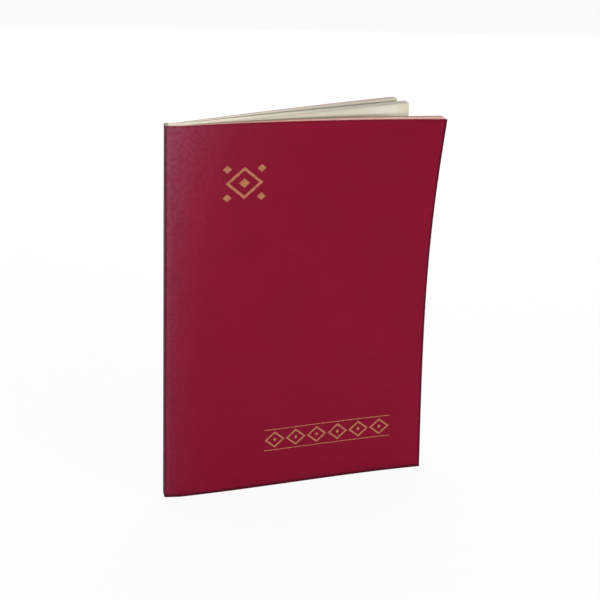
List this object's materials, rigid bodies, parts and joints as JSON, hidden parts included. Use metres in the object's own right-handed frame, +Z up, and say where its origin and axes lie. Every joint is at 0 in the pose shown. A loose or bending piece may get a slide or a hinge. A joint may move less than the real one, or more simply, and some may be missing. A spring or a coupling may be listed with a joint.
{
  "type": "ledger book",
  "caption": "Soft-cover ledger book standing on its tail edge, covers and leaves fanned from the bound spine, each cover and leaf group turning at its crease.",
  "frame": {"origin": "on the table, under the middle of the book's outline in plan", "axes": "+X from the spine towards the fore-edge along the hinge strip, +Y from the front cover to the back, +Z up"},
  "size_m": [0.2088, 0.1098, 0.28],
  "materials": {
    "cover_card": "wine-red grained soft-cover card, slightly glossy",
    "ledger_paper": "uncoated cream ledger paper with ruled lines",
    "endpaper": "plain uncoated endpaper",
    "lining_cloth": "open cotton lining cloth",
    "binding_glue": "dried binding glue",
    "sewing_thread": "waxed linen thread"
  },
  "bodies": {
    "bound_block": {"spine_cover": "cover_card", "spine_lining": "lining_cloth", "spine_glue": "binding_glue", "sewing_thread_1": "sewing_thread", "sewing_thread_2": "sewing_thread", "sewing_thread_3": "sewing_thread", "sewing_thread_4": "sewing_thread", "sewing_thread_5": "sewing_thread", "sewing_thread_6": "sewing_thread", "front_endpaper_fold": "endpaper", "section_1_fold": "ledger_paper", "section_2": "ledger_paper", "section_3": "ledger_paper", "section_4": "ledger_paper", "section_5": "ledger_paper", "section_6_fold": "ledger_paper", "back_endpaper_fold": "endpaper"},
    "front_leaves": {"front_flyleaf": "endpaper", "section_1_leaves": "ledger_paper"},
    "front_board": {"front_cover": "cover_card", "front_pastedown": "endpaper"},
    "back_leaves": {"section_6_leaves": "ledger_paper", "back_flyleaf": "endpaper"},
    "back_board": {"back_pastedown": "endpaper", "back_cover": "cover_card"}
  },
  "joints": [
    {"name": "front_leaves_turn", "type": "hinge", "parent": "bound_block", "child": "front_leaves", "pos_m": [-0.09238, -0.05507, 0.14], "axis": [0, 0, -1], "range_deg": [-4, 40]},
    {"name": "front_cover_opens", "type": "hinge", "parent": "front_leaves", "child": "front_board", "pos_m": [-0.09238, -0.05507, 0.14], "axis": [0, 0, -1], "range_deg": [-0.4, 140]},
    {"name": "back_leaves_turn", "type": "hinge", "parent": "bound_block", "child": "back_leaves", "pos_m": [-0.09538, -0.04157, 0.14], "axis": [0, 0, 1], "range_deg": [-3, 45]},
    {"name": "back_cover_opens", "type": "hinge", "parent": "back_leaves", "child": "back_board", "pos_m": [-0.09538, -0.04157, 0.14], "axis": [0, 0, 1], "range_deg": [-0.3, 100]}
  ]
}
